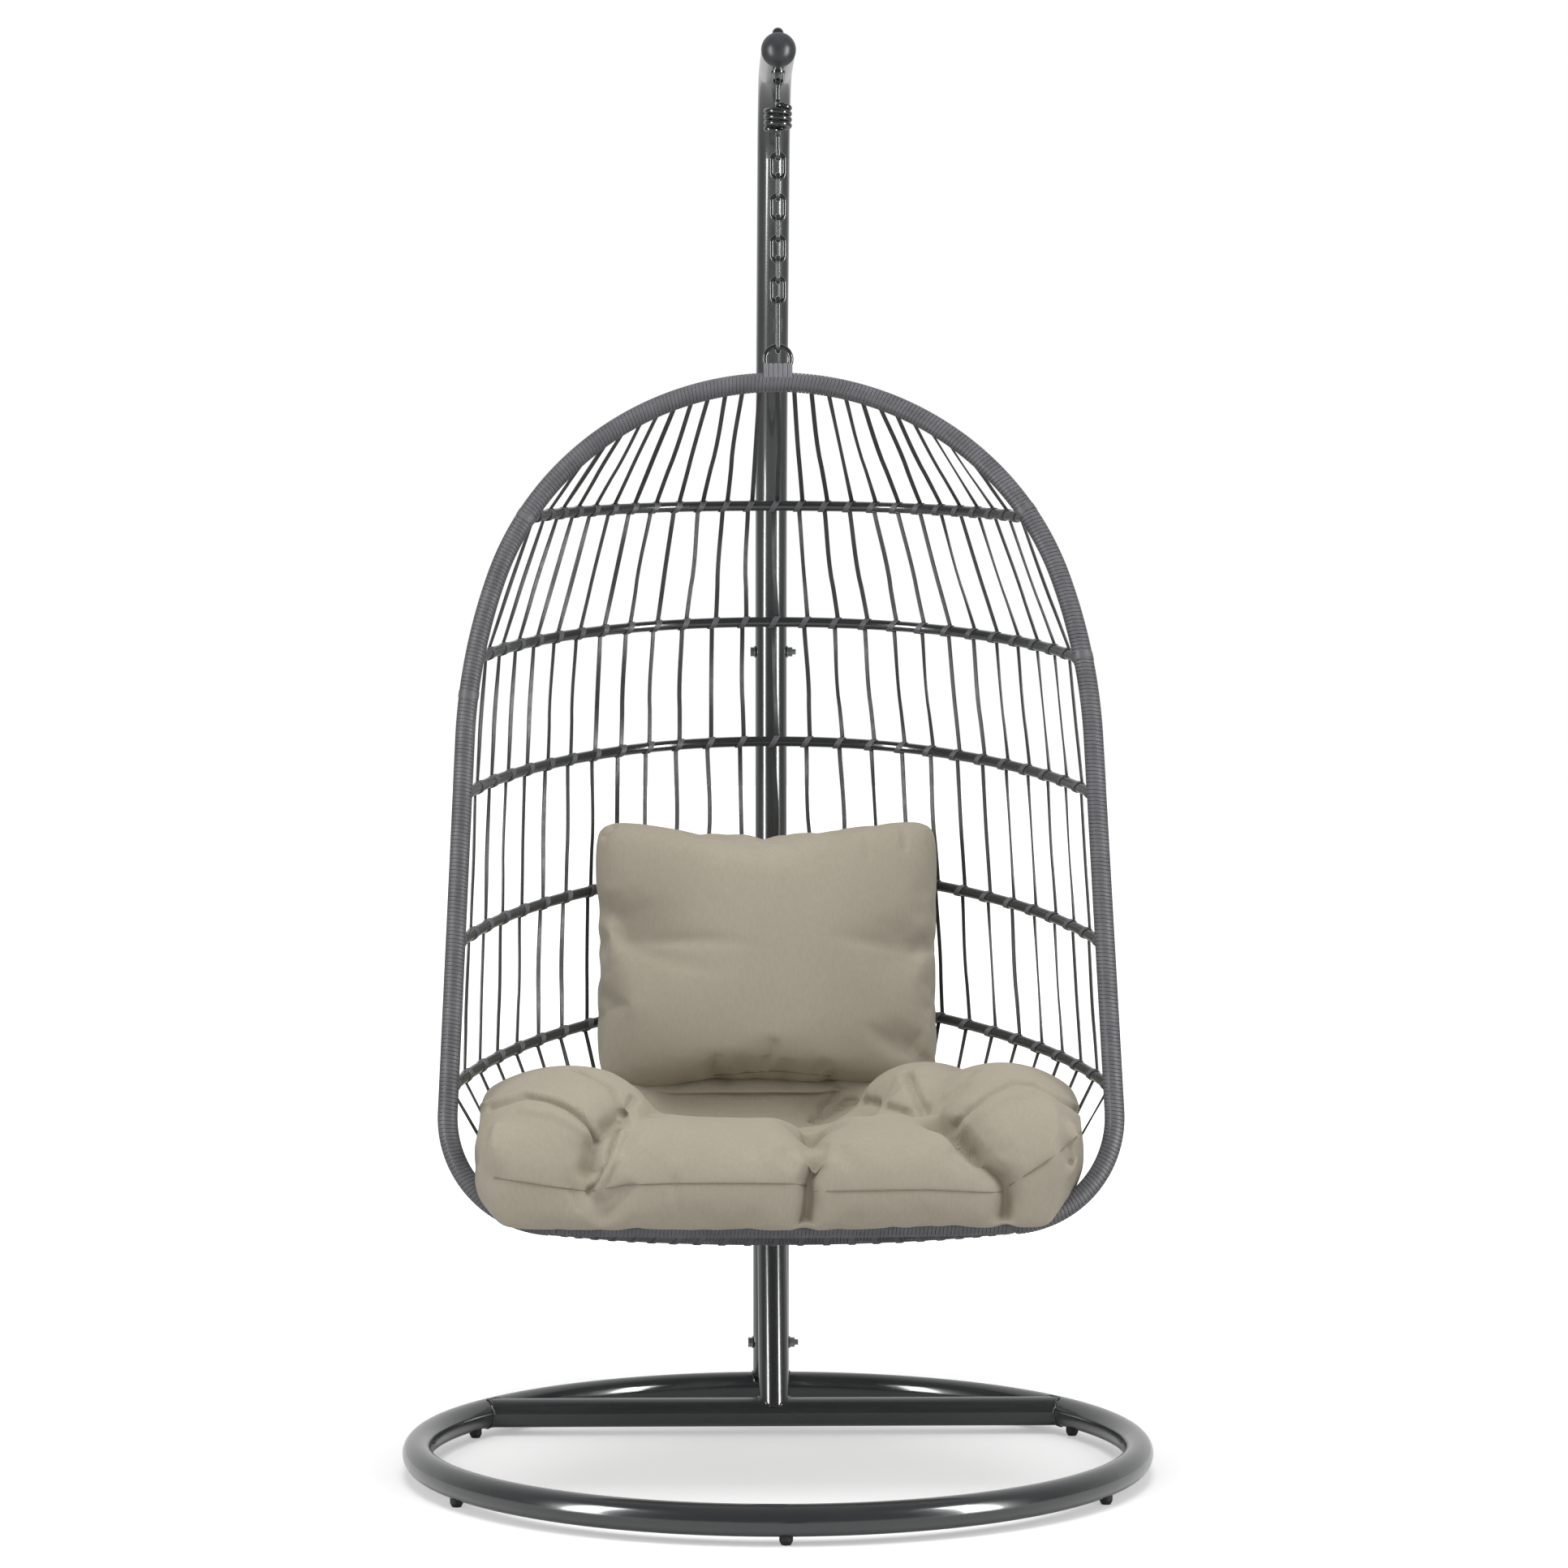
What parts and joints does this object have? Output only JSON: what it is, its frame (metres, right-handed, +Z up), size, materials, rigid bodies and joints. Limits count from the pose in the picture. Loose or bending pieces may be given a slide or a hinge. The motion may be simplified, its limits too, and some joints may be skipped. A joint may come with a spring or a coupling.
{
  "type": "hanging egg chair",
  "caption": "Egg-shaped open basket chair of hooped tube and upright strands, hung by spring and chain from a curved post on a ring base, with seat cushion and back pillow.",
  "frame": {"origin": "on the floor under the middle of the base ring, the bottom centre of the bounding box", "axes": "+Z up, -Y towards the open front of the basket, +X to the right seen from the front"},
  "size_m": [0.9999, 1, 1.9181],
  "materials": {
    "painted_steel": "gloss",
    "hoop_steel": "gloss",
    "fastener_steel": "satin",
    "chain_steel": "gloss",
    "gloss_cap": "gloss",
    "glide_plastic": "matte",
    "wrap_strip": "matte",
    "strand_strip": "satin",
    "cushion_cloth": "matte"
  },
  "bodies": {
    "stand": {"base_ring": "painted_steel", "floor_glides": "glide_plastic", "cross_bar": "painted_steel", "rear_socket": "painted_steel", "front_brace": "painted_steel", "lower_post": "painted_steel", "post_sleeve": "painted_steel", "upper_post": "painted_steel", "ball_cap": "gloss_cap", "socket_bolt": "fastener_steel", "socket_nut": "fastener_steel", "joint_bolt": "fastener_steel", "joint_nut": "fastener_steel", "washers": "fastener_steel", "dome_nut": "fastener_steel", "eye_bolt": "fastener_steel"},
    "spring": {"spring": "chain_steel"},
    "chain_link_1": {"chain_link_1": "chain_steel"},
    "chain_link_2": {"chain_link_2": "chain_steel"},
    "chain_link_3": {"chain_link_3": "chain_steel"},
    "chain_link_4": {"chain_link_4": "chain_steel"},
    "chain_link_5": {"chain_link_5": "chain_steel"},
    "chain_link_6": {"chain_link_6": "chain_steel"},
    "chain_link_7": {"chain_link_7": "chain_steel"},
    "quick_link": {"quick_link": "chain_steel"},
    "quick_link_sleeve": {"quick_link_sleeve": "chain_steel"},
    "basket": {"hanger_saddle": "wrap_strip", "hanger_ring": "chain_steel", "rim_tube": "hoop_steel", "rim_wrap": "wrap_strip", "hoop_1": "hoop_steel", "hoop_2": "hoop_steel", "hoop_3": "hoop_steel", "hoop_4": "hoop_steel", "hoop_5": "hoop_steel", "seat_hoop": "hoop_steel", "seat_hoop_wrap": "wrap_strip", "strands_1": "strand_strip", "strands_2": "strand_strip", "strands_3": "strand_strip", "strands_4": "strand_strip", "strands_5": "strand_strip", "strands_6": "strand_strip", "strands_7": "strand_strip"},
    "seat_cushion": {"seat_cushion": "cushion_cloth"},
    "back_pillow": {"back_pillow": "cushion_cloth"}
  },
  "joints": [
    {"name": "swing_on_eye", "type": "hinge", "parent": "stand", "child": "spring", "pos_m": [0, 0, 1.84225], "axis": [1, 0, 0], "range_deg": [-25, 8]},
    {"name": "spring_stretch", "type": "slide", "parent": "spring", "child": "chain_link_1", "axis": [0, 0, -1], "range_m": [0, 0.008], "stiffness_N_per_m": 80000, "springref_m": -0.004, "deforming": ["spring"]},
    {"name": "link_2_hinge", "type": "hinge", "parent": "chain_link_1", "child": "chain_link_2", "pos_m": [0, 0, 1.7183], "axis": [1, 0, 0], "range_deg": [-6, 6]},
    {"name": "link_3_hinge", "type": "hinge", "parent": "chain_link_2", "child": "chain_link_3", "pos_m": [0, 0, 1.691], "axis": [0, 1, 0], "range_deg": [-6, 6]},
    {"name": "link_4_hinge", "type": "hinge", "parent": "chain_link_3", "child": "chain_link_4", "pos_m": [0, 0, 1.6637], "axis": [-1, 0, 0], "range_deg": [-6, 6]},
    {"name": "link_5_hinge", "type": "hinge", "parent": "chain_link_4", "child": "chain_link_5", "pos_m": [0, 0, 1.6364], "axis": [0, -1, 0], "range_deg": [-6, 6]},
    {"name": "link_6_hinge", "type": "hinge", "parent": "chain_link_5", "child": "chain_link_6", "pos_m": [0, 0, 1.6091], "axis": [-1, 0, 0], "range_deg": [-6, 6]},
    {"name": "link_7_hinge", "type": "hinge", "parent": "chain_link_6", "child": "chain_link_7", "pos_m": [0, 0, 1.5818], "axis": [0, 1, 0], "range_deg": [-6, 6]},
    {"name": "basket_twist", "type": "hinge", "parent": "chain_link_7", "child": "quick_link", "pos_m": [0, 0, 1.56105], "axis": [0, 0, 1], "range_deg": [-20, 20]},
    {"name": "sleeve_screw", "type": "slide", "parent": "quick_link", "child": "quick_link_sleeve", "axis": [0, 0, 1], "range_m": [0, 0.014]},
    {"name": "ring_hinge", "type": "hinge", "parent": "quick_link", "child": "basket", "pos_m": [0, 0, 1.49035], "axis": [0, -1, 0], "range_deg": [-6, 6]},
    {"name": "seat_cushion_lift", "type": "slide", "parent": "basket", "child": "seat_cushion", "axis": [0, -0.5, 0.866], "range_m": [0, 0.3]},
    {"name": "back_pillow_lift", "type": "slide", "parent": "seat_cushion", "child": "back_pillow", "axis": [0, -0.8, 0.6], "range_m": [0, 0.25]}
  ]
}
